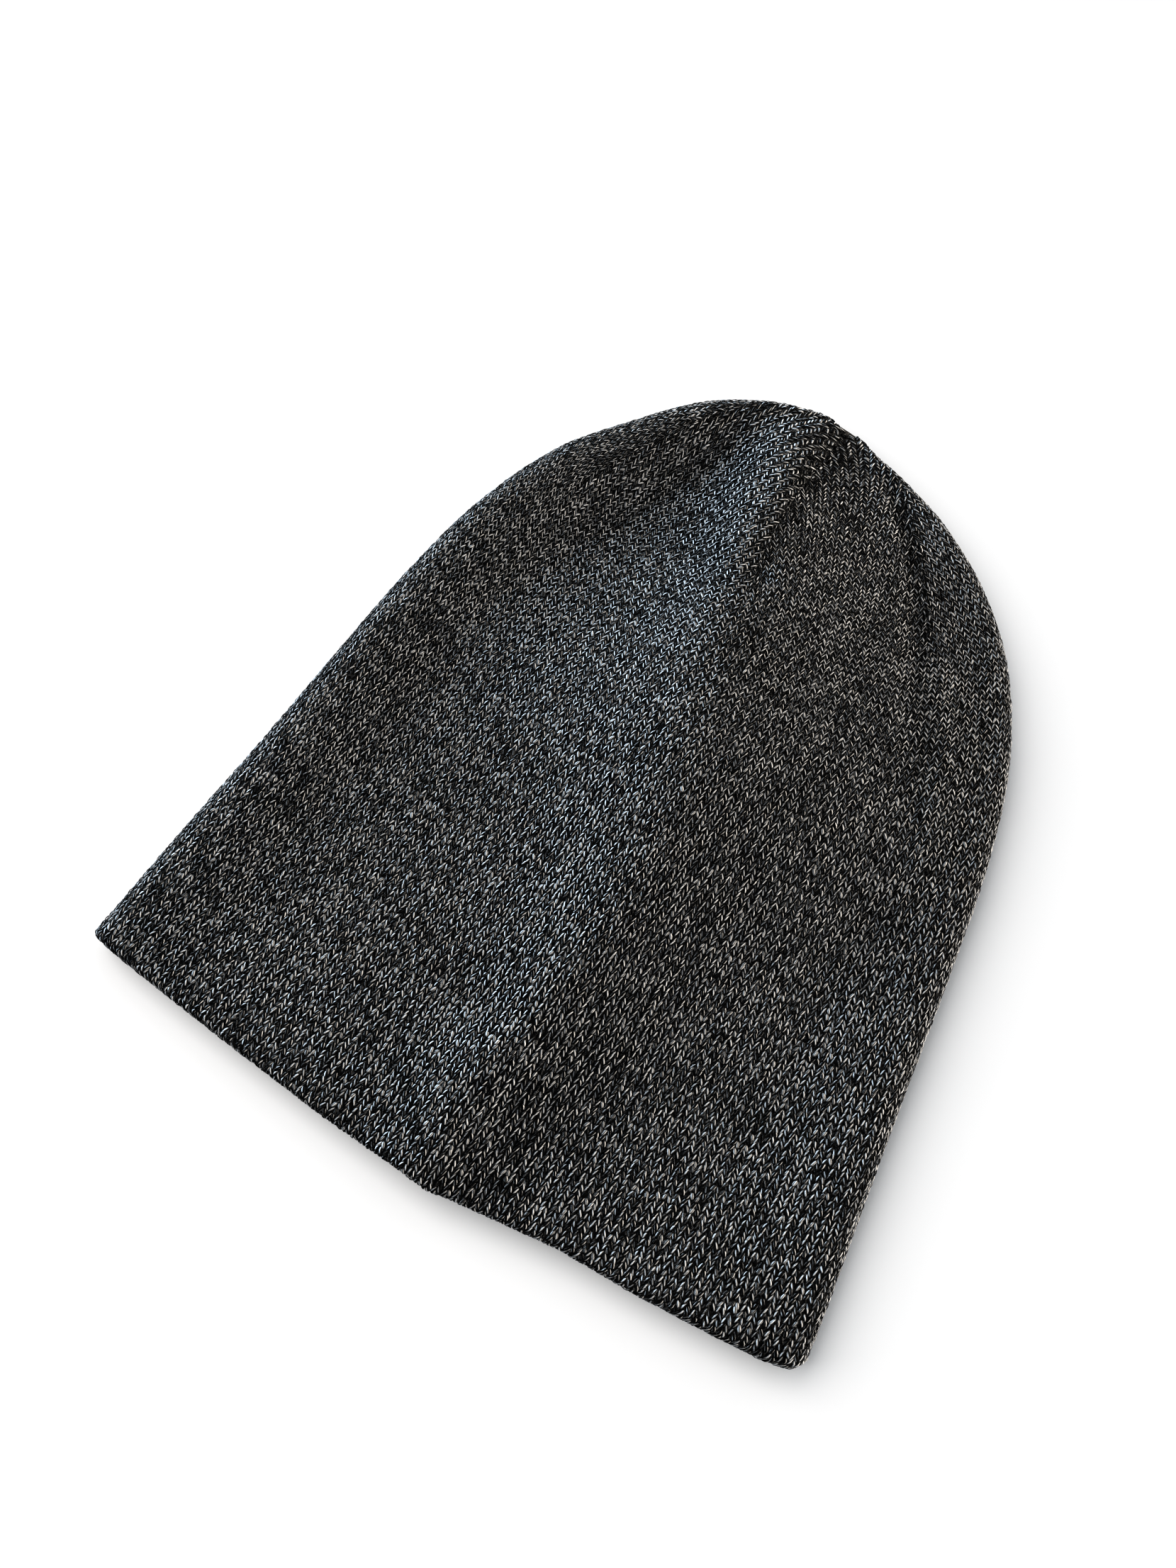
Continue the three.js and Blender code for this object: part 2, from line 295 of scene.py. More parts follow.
def along(rows, column, at):
    """A column's value at places along a table: a cubic through its rows, with mean slopes at each."""
    x, y = rows["y"], rows[column]
    slope = np.empty_like(y)
    slope[1:-1] = (y[2:] - y[:-2]) / (x[2:] - x[:-2])
    slope[0] = (y[1] - y[0]) / (x[1] - x[0])
    slope[-1] = (y[-1] - y[-2]) / (x[-1] - x[-2])
    at = np.clip(at, x[0], x[-1])
    i = np.clip(np.searchsorted(x, at, side="right") - 1, 0, len(x) - 2)
    span = x[i + 1] - x[i]
    t = (at - x[i]) / span
    rise = smooth(t)
    value = (1 - rise) * y[i] + rise * y[i + 1]
    return value + t * (1 - t) * span * ((1 - t) * slope[i] - t * slope[i + 1])


def bell(offset, spread):
    """One at the middle, falling to nothing on both sides: e to the minus square of offset by spread."""
    return np.exp(-((offset / spread) ** 2))


def relief(x, y):
    """Height added to the upper side: a bell along the crease and the swelling, steeper on one side, a bell
    cut along each dart with a step across it, and a bell for each puff."""
    z = np.zeros_like(x)
    for ridge in (CREASE, SWELLING):
        offset = x - along(ridge, "x", y)
        spread = np.where(offset < 0, along(ridge, "left", y), along(ridge, "right", y))
        z += np.maximum(along(ridge, "height", y), 0) * bell(offset, spread)
    for step, dart in DARTS:
        offset, spread = x - along(dart, "x", y), along(dart, "spread", y)
        depth = np.where(y > dart["y"][0], np.maximum(along(dart, "depth", y), 0), 0)
        z -= depth * bell(offset, spread)
        z -= depth * step * np.tanh(offset / spread) * bell(offset, STEP_SPREAD)
    for puff_x, puff_y, height, across, lengthways in PUFFS:
        z += height * bell(x - puff_x, across) * bell(y - puff_y, lengthways)
    return z


def knit_point(around, row_y, inset):
    """Points of the flattened tube: each row is an arc across the cap, whose section turns round a
    quarter circle at each side fold and then rises along a low dome, or lies flat underneath."""
    upper = around <= 1
    side = np.where(upper, around, 2 - around)
    half = np.where(side < 0, along(ROWS, "left", row_y), along(ROWS, "right", row_y)) - inset
    radius = np.maximum(along(ROWS, "radius", row_y) - inset, LEAST_RADIUS)
    fold, bend = along(ROWS, "fold", row_y), along(ROWS, "bend", row_y)
    quarter = math.pi / 2 * radius
    length = half + quarter - radius
    from_fold = (1 - np.abs(side)) * length
    turn = np.minimum(from_fold, quarter) / radius
    inside = np.where(from_fold < quarter, radius * (1 - np.cos(turn)), from_fold - quarter + radius)
    onward = np.clip((from_fold - quarter) / (length - quarter), 0, 1)
    dome = smooth(np.minimum(onward / along(ROWS, "shoulder", row_y), 1))
    level = 1 - (1 - np.minimum(onward / UNDER_LEVEL_SHARE, 1)) ** 2

    angle = np.sign(side) * (half - inside) / bend
    x = bend * np.sin(angle)
    to_rim = row_y - RIM_Y
    lead = np.interp(x, RIM_LINE["x"], RIM_LINE["lead"]) - x * x / 2 / ROWS["bend"][0]
    y = row_y + bend * (1 - np.cos(angle)) + lead * np.exp(-to_rim / RIM_LINE_REACH)
    setback = UNDER_SETBACK * (1 - side**4) * np.exp(-to_rim / UNDER_SETBACK_REACH)
    y = np.where(upper, y, y + setback)
    top = fold + radius * np.sin(turn) + (along(ROWS, "top", row_y) - inset - fold - radius) * dome
    top += relief(x, y) * np.minimum(RELIEF_RISE * dome, 1)
    under = np.maximum(along(ROWS, "under", row_y), 0) + inset
    bottom = fold - radius * np.sin(turn) - (fold - radius - under) * level
    return np.stack([x, y, np.where(upper, top, bottom)], -1)


def row_y_of(reach):
    """Place along the cap of a reach: the roll's quarter turn takes the first part."""
    return RIM_Y + ROLL + np.maximum(np.abs(reach) - math.pi / 2 * ROLL, 0)


def skin_point(around, reach, depth=0.0):
    """Points of the whole skin, or of a skin at some depth in the wall, by their reach: outer face above a
    quarter turn, inner face below minus a quarter turn, and between them a half circle round the wall's
    middle."""
    around, reach = np.broadcast_arrays(around, reach)
    row_y = row_y_of(reach)
    turn = np.clip(reach / ROLL, -math.pi / 2, math.pi / 2)
    outer = knit_point(around, row_y, depth)
    inner = knit_point(around, row_y, WALL)
    out_share = (1 + np.sin(turn)) / 2
    point = inner + (outer - inner) * out_share[..., None]
    point[..., 1] -= np.cos(turn) * (ROLL - depth / 2)
    return point


def mesh_object(name, points, faces, material):
    """An object from arrays of points, in millimetres on the tables, and of triangles."""
    mesh = bpy.data.meshes.new(name)
    points = np.ascontiguousarray((points - np.array(ORIGIN)) * MM, np.float32)
    mesh.vertices.add(len(points))
    mesh.vertices.foreach_set("co", points.ravel())
    mesh.loops.add(faces.size)
    mesh.loops.foreach_set("vertex_index", np.ascontiguousarray(faces, np.int32).ravel())
    mesh.polygons.add(len(faces))
    mesh.polygons.foreach_set("loop_start", np.arange(0, faces.size, 3, dtype=np.int32))
    mesh.update(calc_edges=True)
    mesh.validate()
    mesh.shade_smooth()
    mesh.materials.append(material)
    piece = bpy.data.objects.new(name, mesh)
    bpy.context.scene.collection.objects.link(piece)
    return piece


def add_map(piece, name, uv):
    """A UV map from one pair of numbers for each face corner."""
    layer = piece.data.uv_layers.new(name=name)
    layer.data.foreach_set("uv", np.ascontiguousarray(uv, np.float32).ravel())


# The gores

def row_reaches():
    """The reach of each row of stitches, by adding up the row spacings."""
    reach = [0.0]
    while reach[-1] < LAST_REACH:
        reach.append(reach[-1] + np.interp(reach[-1] + RIM_Y, ROW_SPACING["y"], ROW_SPACING["spacing"]))
    return np.array(reach)


def reach_of_row(row):
    """The reach of a row by its number, below nothing for the rows inside the mouth."""
    reaches = row_reaches()
    return np.sign(row) * np.interp(np.abs(row), np.arange(len(reaches)), reaches)


def gore_width(row_y):
    """The share of a gore's full width that is left at a row: whole up to the darts, then falling evenly."""
    return np.clip((GORE_END_Y - row_y) / (GORE_END_Y - DART_START_Y), LEAST_GORE, 1)


def around_of(angle, row_y):
    """Place round the skin of an angle round the knit, on straight lines between folds and seams."""
    left, right = along(SEAMS, "fold_left", row_y), along(SEAMS, "fold_right", row_y)
    seams = [along(SEAMS, seam, row_y) for seam in ("left", "middle", "right")]
    under = [turns * GORE_ANGLE for turns in (2, 3, 4)]
    stops = [left, -GORE_ANGLE, 0, GORE_ANGLE, right, *under, left + 360]
    places = [-1, *seams, 1, 4 / 3, 2, 8 / 3, 3]
    angle = (angle - left) % 360 + left
    around = np.full_like(angle, -1)
    for i in range(len(stops) - 1):
        share = (angle - stops[i]) / (stops[i + 1] - stops[i])
        inside = (share >= 0) & (share <= 1)
        around = np.where(inside, places[i] + share * (places[i + 1] - places[i]), around)
    return around


def skin_and_normal(angle, reach):
    """Points of the skin at knit angles and reaches, with the outward normals from their neighbours."""
    around = around_of(angle, row_y_of(reach))
    point = skin_point(around, reach)
    beside = skin_point(around + STEP_ROUND, reach) - skin_point(around - STEP_ROUND, reach)
    ahead = skin_point(around, reach + STEP_ALONG) - skin_point(around, reach - STEP_ALONG)
    normal = np.cross(beside, ahead)
    length = np.linalg.norm(normal, axis=-1, keepdims=True)
    return point, normal / np.maximum(length, 1e-9)


# Node helpers

def add_node(tree, kind, **settings):
    """A new node with its settings."""
    node = tree.nodes.new(kind)
    for name, value in settings.items():
        setattr(node, name, value)
    return node


def feed(tree, value, socket):
    """Link a socket to another one, or set it to a number or a colour."""
    if isinstance(value, bpy.types.NodeSocket):
        tree.links.new(value, socket)
    elif socket.type == "RGBA":
        socket.default_value = (*value, 1)
    else:
        socket.default_value = value


def new_material(name):
    """An empty node material with its node tree, and its Principled shader linked to the output."""
    material = bpy.data.materials.new(name)
    material.use_nodes = True
    tree = material.node_tree
    tree.nodes.clear()
    output = add_node(tree, "ShaderNodeOutputMaterial")
    shader = add_node(tree, "ShaderNodeBsdfPrincipled")
    tree.links.new(shader.outputs[0], output.inputs[0])
    return material, tree, shader


def calc(tree, operation, a, b=0.0):
    """One Math node fed by sockets or numbers."""
    node = add_node(tree, "ShaderNodeMath", operation=operation)
    feed(tree, a, node.inputs[0])
    feed(tree, b, node.inputs[1])
    return node.outputs[0]


def product(tree, *factors):
    """All factors multiplied, from the left."""
    result = factors[0]
    for factor in factors[1:]:
        result = calc(tree, "MULTIPLY", result, factor)
    return result


def from_half(tree, value):
    """How far a value is from a half."""
    return calc(tree, "ABSOLUTE", calc(tree, "SUBTRACT", value, 0.5))


def hump(tree, value):
    """One halfway between two whole numbers, falling evenly to nothing at both."""
    away = from_half(tree, calc(tree, "FRACT", value))
    return calc(tree, "SUBTRACT", 1.0, product(tree, away, 2.0))


def rising(tree, value, low, high, out_low=0.0, out_high=1.0):
    """The smoothstep of a value between two bounds, brought to two other bounds."""
    node = add_node(tree, "ShaderNodeMapRange", interpolation_type="SMOOTHSTEP")
    feed(tree, value, node.inputs["Value"])
    feed(tree, low, node.inputs["From Min"])
    feed(tree, high, node.inputs["From Max"])
    feed(tree, out_low, node.inputs["To Min"])
    feed(tree, out_high, node.inputs["To Max"])
    return node.outputs[0]


def mix_colour(tree, share, a, b):
    """The colour between two colours by a share."""
    node = add_node(tree, "ShaderNodeMix", data_type="RGBA")
    for index, value in ((0, share), (6, a), (7, b)):
        feed(tree, value, node.inputs[index])
    return node.outputs[2]


def combined(tree, *values):
    """A vector of up to three sockets or numbers."""
    node = add_node(tree, "ShaderNodeCombineXYZ")
    for value, socket in zip(values, node.inputs):
        feed(tree, value, socket)
    return node.outputs[0]


def map_axes(tree, name):
    """The two numbers of a UV map."""
    split = add_node(tree, "ShaderNodeSeparateXYZ")
    tree.links.new(add_node(tree, "ShaderNodeUVMap", uv_map=name).outputs[0], split.inputs[0])
    return split.outputs[0], split.outputs[1]


def colour_parts(tree, colour):
    """The three numbers of a colour."""
    split = add_node(tree, "ShaderNodeSeparateColor")
    tree.links.new(colour, split.inputs[0])
    return split.outputs[0], split.outputs[1], split.outputs[2]


def add_chance(tree, x, y):
    """The White Noise of two numbers, which is one chance for each pair: a number and a colour."""
    node = add_node(tree, "ShaderNodeTexWhiteNoise", noise_dimensions="2D")
    tree.links.new(combined(tree, x, y), node.inputs["Vector"])
    return node.outputs[0], node.outputs[1]


def add_noise(tree, place, scale, detail=2.0):
    """The Noise at a place."""
    node = add_node(tree, "ShaderNodeTexNoise")
    node.inputs["Scale"].default_value = scale
    node.inputs["Detail"].default_value = detail
    tree.links.new(place, node.inputs["Vector"])
    return node.outputs[0]


def add_bump(tree, shader, height, strength, distance):
    """Raises the shader's surface by a height."""
    bump = add_node(tree, "ShaderNodeBump")
    bump.inputs["Strength"].default_value = strength
    bump.inputs["Distance"].default_value = distance
    tree.links.new(height, bump.inputs["Height"])
    tree.links.new(bump.outputs[0], shader.inputs["Normal"])


def yarn_material(knit):
    """Marled yarn: strands lie slantwise on each stitch leg, each pale or black by chance, paler where the
    stitch's tone is high, with fibre noise along them and a raised middle. The tone holds painted shade at the
    rim's edge and in the darts, and a leg's ends are painted darker as shade."""
    material, tree, shader = new_material("marled_yarn")
    beside, ahead = map_axes(tree, "Yarn")
    tone = add_node(tree, "ShaderNodeAttribute", attribute_name="tone")
    # The tone's first part is how pale the stitch is, with the painted shade of the rim's edge and the darts in
    # it
    paleness_and_shade, own_chance, leg_share = colour_parts(tree, tone.outputs["Color"])
    across = calc(tree, "ADD", beside, product(tree, ahead, math.tan(knit.ply_angle)))
    counted = calc(tree, "DIVIDE", across, knit.strand_width / MM)
    strand = calc(tree, "ADD", counted, product(tree, own_chance, STRAND_SHIFT))
    index = calc(tree, "FLOOR", strand)
    strand_hump = hump(tree, strand)
    chance, chances = add_chance(tree, index, product(tree, own_chance, NOISE_SPREAD))
    fibre_x, fibre_y = product(tree, across, FIBRES_ACROSS), product(tree, ahead, FIBRES_ALONG)
    fibre_place = combined(tree, fibre_x, fibre_y, product(tree, own_chance, FIBRE_SPREAD))
    fibre = add_noise(tree, fibre_place, 1.0)
    # Pale and black strands take turns, but a stitch's tone and chance can turn one over, and some pale
    # strands are duller
    second = calc(tree, "FRACT", product(tree, index, 0.5))
    turns = product(tree, calc(tree, "SUBTRACT", 0.25, second), STRAND_TURNS)
    excess = calc(tree, "SUBTRACT", calc(tree, "ADD", paleness_and_shade, turns), chance)
    pale = rising(tree, excess, *PALE_BOUNDS)
    bright = rising(tree, colour_parts(tree, chances)[1], *DULL_BOUNDS)
    inside_strand = rising(tree, strand_hump, *STRAND_BOUNDS)
    on_fibre = rising(tree, fibre, *FIBRE_BOUNDS)
    # Painted shade: a leg goes under its neighbours at both ends, where little light gets in, and is painted
    # darker there
    end_shade_mask = rising(tree, from_half(tree, leg_share), *LEG_END_SHADE_BOUNDS)
    lit = product(tree, pale, bright, inside_strand, on_fibre, end_shade_mask)
    tree.links.new(mix_colour(tree, lit, knit.dark_yarn, knit.pale_yarn), shader.inputs["Base Color"])
    shader.inputs["Roughness"].default_value = 0.85
    shader.inputs["Specular IOR Level"].default_value = 0.03
    height = calc(tree, "ADD", strand_hump, product(tree, fibre, 0.5))
    add_bump(tree, shader, height, 0.5, 0.12 * MM)
    return material


def ground_material(knit):
    """The knit behind the stitches: chevrons in wale and row units, painted black between them as the shade of
    the gaps, each leg with a tone by chance, kept darker than the stitches as painted shade."""
    material, tree, shader = new_material("knit_ground")
    wales, rows = map_axes(tree, "Wales")
    halves = product(tree, wales, 2.0)
    # Rows run up from the middle of a wale to its edges
    side = from_half(tree, calc(tree, "FRACT", wales))
    climbed = calc(tree, "SUBTRACT", rows, product(tree, side, GROUND_CLIMB))
    height = product(tree, hump(tree, climbed), hump(tree, halves))
    chance = add_chance(tree, calc(tree, "FLOOR", halves), calc(tree, "FLOOR", climbed))[0]
    # A leg's edge is painted black as the shade in the gaps, and its chance tone is kept under half pale as
    # painted shade under the stitches
    edge, tone = rising(tree, height, *GROUND_GAP_SHADE_BOUNDS), rising(tree, chance, *GROUND_TONE_AND_SHADE_BOUNDS)
    colour = mix_colour(tree, product(tree, edge, tone), knit.dark_yarn, knit.pale_yarn)
    tree.links.new(colour, shader.inputs["Base Color"])
    shader.inputs["Roughness"].default_value = 0.85
    shader.inputs["Specular IOR Level"].default_value = 0.1
    add_bump(tree, shader, height, 1.0, 0.5 * MM)
    return material


# The ground

def ground_arrays(knit):
    """The ground's points in rings round the skin, from the outer tip over the rim to the inner tip, set in
    from the stitches' tops. Also the wale and the row of each, with the first of a ring again at its end."""
    reaches = np.concatenate([np.linspace(start, end, count) for start, end, count in RINGS])
    angle = np.linspace(-90, 270, knit.ground_around + 1) + np.zeros((len(reaches), 1))
    reach = reaches[:, None] + np.zeros_like(angle[:, :-1])
    points = skin_point(around_of(angle[:, :-1], row_y_of(reach)), reach, knit.ground_depth / MM)
    row_numbers = np.arange(len(row_reaches()))
    rows = np.sign(reaches) * np.interp(np.abs(reaches), row_reaches(), row_numbers)
    wales = angle / 360 * GORES * knit.wales_per_gore
    return points, np.stack([wales, rows[:, None] + np.zeros_like(angle)], -1)


def make_ground(knit):
    """The closed ground: two triangles between neighbours on neighbouring rings, and a fan at each tip. Its
    maps have a column more than the rings have points, so that they don't run backwards where a ring
    closes."""
    points, wales_rows = ground_arrays(knit)
    rings, count = points.shape[:2]
    wide = count + 1
    first = np.arange(count)
    last = first + (rings - 1) * wide
    here = (first + np.arange(rings - 1)[:, None] * wide).reshape(-1, 1)
    near, far = here + np.array([0, wide, wide + 1]), here + np.array([0, wide + 1, 1])
    outer_fan = np.stack([first, first, first + 1], -1)
    inner_fan = np.stack([last, last + 1, last], -1)
    corner = np.concatenate([near, far, outer_fan, inner_fan])
    index = corner // wide * count + corner % wide % count
    index[-2 * count:-count, 0] = rings * count
    index[-count:, 0] = rings * count + 1
    body = np.concatenate([points.reshape(-1, 3), np.array([TIP, INNER_TIP])])
    piece = mesh_object("knit_ground", body, index, ground_material(knit))
    uv = wales_rows.reshape(-1, 2)[corner]
    add_map(piece, "Wales", uv)
    spread = (uv - uv.min((0, 1))) / np.ptp(uv, axis=(0, 1))
    add_map(piece, "OFBake", MAP_MARGIN + (1 - 2 * MAP_MARGIN) * spread)
    return piece


# The stitches

def yarn_tones(rows, wales):
    """Paleness of each stitch between nothing and one, a row for each row of knit: a tanh of chance along
    the yarn, by single stitches and smoothed over three and nine, plus a little for each row."""
    rng = np.random.default_rng(TONE_SEED)
    tone = np.zeros(rows * wales)
    for much, stitches in TONE_SPANS:
        evenly = np.ones(stitches) / stitches**0.5
        tone += much * np.convolve(rng.normal(size=len(tone)), evenly, "same")
    tone += TONE_BY_ROW * np.repeat(rng.normal(size=rows), wales)
    return 0.5 + 0.5 * np.tanh(TONE_CONTRAST * tone.reshape(rows, wales))


def gore_stitches(knit, gore, tones):
    """One gore's stitches: the row and wale of each, its height along the cap, its tone with painted shade."""
    half = knit.wales_per_gore // 2
    rows = np.arange(-knit.rows_inside, len(row_reaches()) - 1)
    row, wale = np.meshgrid(rows, np.arange(-half, half + 1), indexing="ij")
    row_y = row_y_of(reach_of_row(row))
    from_dart = gore_width(row_y) * knit.wales_per_gore / 2 - np.abs(wale)
    keep = from_dart >= -EDGE_WALES
    row, wale, row_y, from_dart = row[keep], wale[keep], row_y[keep], from_dart[keep]
    tone = tones[row + knit.rows_inside, wale + half + gore * knit.wales_per_gore]
    # Painted shade: less light gets to the edge of the rim and into the darts, so the yarn is painted darker
    # there
    # How far along the dart its painted shade has come in
    dart_shade_onset = np.clip((row_y - DART_START_Y) / DART_PAINTED_SHADE_START, 0, 1)
    tone = tone - RIM_PAINTED_SHADE * bell(row, RIM_PAINTED_SHADE_ROWS)
    tone = tone - DART_PAINTED_SHADE * dart_shade_onset * bell(from_dart, DART_PAINTED_SHADE_WALES)
    return row, wale, row_y, tone


def gore_legs(knit, gore, sections, tones):
    """The two legs of each stitch in a gore: spindles of three-cornered sections between two points, which
    curve from near the wale's middle out to its edge and arch up from under the row below. Their points
    are in wales, rows and millimetres of height, with the map of the yarn on them in millimetres and with
    three attributes: the stitch's tone with painted shade, the leg's own chance and the share of its length."""
    row, wale, row_y, tone = gore_stitches(knit, gore, tones)
    columns = ("inner", "outer", "curl", "length", "lean")
    inner, outer, curl, length, lean = (along(LEGS, column, row_y)[:, None] for column in columns)
    spacing = np.interp(row_y, ROW_SPACING["y"], ROW_SPACING["spacing"])[:, None]
    pitch = knit.wale_pitch / MM
    half_width = knit.leg_width / 2 / MM
    t = np.linspace(0, 1, sections + 2)
    out = t + curl * (smooth(t) - t)
    climb = length * (t - 0.5) + 0.5
    arch = np.sin(math.pi * (ARCH_CUT + (1 - 2 * ARCH_CUT) * t))
    lift = (knit.leg_sink + (knit.leg_crown - knit.leg_sink) * arch) / MM
    taper = np.sin(math.pi * np.clip(t, WIDTH_CUT, 1 - WIDTH_CUT)) ** 0.5
    # Each section's three corners and the two end points: their stations and places across the leg
    station = np.concatenate([[0], np.repeat(np.arange(1, sections + 1), 3), [sections + 1]])
    place = np.concatenate([[0], np.tile([-1, 0, 1], sections), [0]])
    rng = np.random.default_rng(LEG_SEED + gore)
    points, yarn, attributes = [], [], []
    for side in (-1, 1):
        luck = np.clip(rng.normal(size=(len(UNEVEN), len(row), 1)), -UNEVEN_LIMIT, UNEVEN_LIMIT)
        shift, slant, row_shift, wider, higher = np.array(UNEVEN)[:, None, None] * luck
        w = side * (inner + (outer - inner) * out) + shift + slant * (t - 0.5)
        c = climb + row_shift
        step_w, step_c = np.gradient(w, axis=1) * pitch, np.gradient(c, axis=1) * spacing
        step = np.hypot(step_w, step_c)
        thick = half_width * taper * (1 + lean * side) * (1 + wider)
        high = lift + lean * side + higher
        offset = place * thick[:, station]
        point_w = wale[:, None] + w[:, station] + offset * (step_c / step)[:, station] / pitch
        point_c = row[:, None] + c[:, station] - offset * (step_w / step)[:, station] / spacing
        point_h = high[:, station] - knit.leg_bulge / MM * np.abs(place)
        points.append(np.stack([point_w, point_c, point_h], -1))
        distance = (np.cumsum(step, axis=1) - step[:, :1])[:, station]
        yarn.append(np.stack([place * half_width + 0 * distance, distance], -1))
        chance = rng.random((len(row), 1))
        share = t[station] + 0 * chance
        attributes.append(np.stack([tone[:, None] + 0 * share, chance + 0 * share, share], -1))
    return np.concatenate(points), np.concatenate(yarn), np.concatenate(attributes)


def leg_faces(sections):
    """Corner numbers of one spindle's triangles, a fan at each point and two triangles on each side between
    sections, and the place of each corner on the spindle's sides laid out flat beside one another."""
    faces, flat = [], []
    for a in range(3):
        b = (a + 1) % 3
        left, right = LEG_SIDES[a], LEG_SIDES[a + 1]
        middle = (left + right) / 2
        for station in range(sections + 1):
            low, high = 3 * station - 2, 3 * station + 1
            at, after = station / (sections + 1), (station + 1) / (sections + 1)
            if station == 0:
                faces.append((0, high + b, high + a))
                flat.append(((middle, at), (right, after), (left, after)))
            elif station == sections:
                faces.append((low + a, low + b, high))
                flat.append(((left, at), (right, at), (middle, after)))
            else:
                faces += [(low + a, low + b, high + b), (low + a, high + b, high + a)]
                flat.append(((left, at), (right, at), (right, after)))
                flat.append(((left, at), (right, after), (left, after)))
    return np.array(faces), np.array(flat)


def leg_atlas(legs, flat):
    """A map with a square cell for every leg, with its laid-out sides inside the cell's margin."""
    cells = math.ceil(math.sqrt(legs))
    cell = np.stack([np.arange(legs) % cells, np.arange(legs) // cells], -1)
    corner = CELL_MARGIN + (1 - 2 * CELL_MARGIN) * flat
    return ((cell[:, None, None, :] + corner[None]) / cells).reshape(-1, 2)


def make_gore(knit, gore, sections, tones, material):
    """One gore's stitches as a single mesh: every leg's points are placed on the skin by their angle and
    reach and raised along its normal."""
    local, yarn, attributes = gore_legs(knit, gore, sections, tones)
    legs, corners = local.shape[:2]
    reach = reach_of_row(local[..., 1])
    width = gore_width(row_y_of(reach)) * knit.wales_per_gore
    share = np.clip(local[..., 0] / width, -0.5, 0.5)
    where, normal = skin_and_normal((gore + 0.5 + share) * GORE_ANGLE, reach)
    placed = where + normal * local[..., 2:3]
    # What the cap lies on presses the stitches flat
    placed[..., 2] = np.maximum(placed[..., 2], 0)
    one, flat = leg_faces(sections)
    index = (np.arange(legs)[:, None, None] * corners + one[None]).reshape(-1, 3)
    piece = mesh_object(f"stitches_{gore + 1}", placed.reshape(-1, 3), index, material)
    add_map(piece, "Yarn", yarn[:, one.ravel()].reshape(-1, 2))
    colour = np.ones((legs, corners, 4), np.float32)
    colour[..., :3] = attributes
    layer = piece.data.attributes.new("tone", "FLOAT_COLOR", "POINT")
    layer.data.foreach_set("color", colour.ravel())
    add_map(piece, "OFBake", leg_atlas(legs, flat))
    return piece


# The stage

def make_floor(stage):
    """The floor: one large square, mottled a little lighter by noise."""
    mesh = bpy.data.meshes.new("floor")
    square = [(-1, -1), (1, -1), (1, 1), (-1, 1)]
    mesh.from_pydata([(FLOOR_REACH * x, FLOOR_REACH * y, 0) for x, y in square], [], [(0, 1, 2, 3)])
    material, tree, shader = new_material("pale_floor")
    mottling = add_noise(tree, add_node(tree, "ShaderNodeTexCoord").outputs["Object"], 6.0)
    lighter = [min(1.0, value * FLOOR_LIGHTER) for value in stage.floor_colour]
    colour = mix_colour(tree, mottling, stage.floor_colour, lighter)
    tree.links.new(colour, shader.inputs["Base Color"])
    shader.inputs["Roughness"].default_value = 0.9
    shader.inputs["Specular IOR Level"].default_value = 0.1
    mesh.materials.append(material)
    floor = bpy.data.objects.new("floor", mesh)
    bpy.context.scene.collection.objects.link(floor)
    return floor


def make_lamp(name, place, power, colour, width, height):
    """A rectangular lamp at a place, turned to the origin."""
    light = bpy.data.lights.new(name, "AREA")
    light.shape = "RECTANGLE"
    light.size = width
    light.size_y = height
    light.energy = power
    light.color = colour
    lamp = bpy.data.objects.new(name, light)
    lamp.location = place
    lamp.rotation_euler = Vector(place).to_track_quat("Z", "Y").to_euler()
    bpy.context.scene.collection.objects.link(lamp)
    return lamp


def link_lamps(name, floor, state, *lamps):
    """Lets lamps light the floor alone where the state is INCLUDE, or all but the floor where it is EXCLUDE."""
    receivers = bpy.data.collections.new(name)
    receivers.objects.link(floor)
    receivers.collection_objects[0].light_linking.link_state = state
    for lamp in lamps:
        lamp.light_linking.receiver_collection = receivers


def make_lamps(stage, floor):
    """The low window and the warm lamp across from it light the cap. A third lamp lights the floor alone, as
    a lit table does, and the other two leave the floor out."""
    level = math.cos(stage.window_rise)
    across, ahead = -math.sin(stage.window_turn) * level, math.cos(stage.window_turn) * level
    place = stage.window_away * Vector((across, ahead, math.sin(stage.window_rise)))
    window = make_lamp("window", place, stage.window_power, stage.window_colour, stage.window_size,
                       stage.window_height)
    room_lamp = make_lamp("room_lamp", stage.room_at, stage.room_power, stage.room_colour, stage.room_size,
                          stage.room_size)
    table_lamp = make_lamp("table_lamp", stage.table_at, stage.table_power, (1, 1, 1), stage.table_size,
                           stage.table_size)
    link_lamps("only_floor", floor, "INCLUDE", table_lamp)
    link_lamps("not_floor", floor, "EXCLUDE", window, room_lamp)


def make_world(stage):
    """An even sky all round."""
    world = bpy.data.worlds.new("room")
    world.use_nodes = True
    background = world.node_tree.nodes["Background"]
    background.inputs[0].default_value = (*stage.sky_colour, 1)
    background.inputs[1].default_value = stage.sky_strength
    return world


def camera_matrix(stage):
    """The camera's place and turn: pitched down from level, rolled about its view, and turned by its
    heading."""
    pitch, roll, heading = stage.pitch_down, stage.roll, stage.heading
    right, forward = Vector((1, 0, 0)), Vector((0, math.cos(pitch), -math.sin(pitch)))
    up = Vector((0, math.sin(pitch), math.cos(pitch)))
    across = math.cos(roll) * right - math.sin(roll) * up
    upward = math.sin(roll) * right + math.cos(roll) * up
    turn = Matrix.Rotation(-heading, 3, "Z")
    axes = Matrix([turn @ across, turn @ upward, turn @ -forward]).transposed().to_4x4()
    return Matrix.Translation(stage.camera_at) @ axes


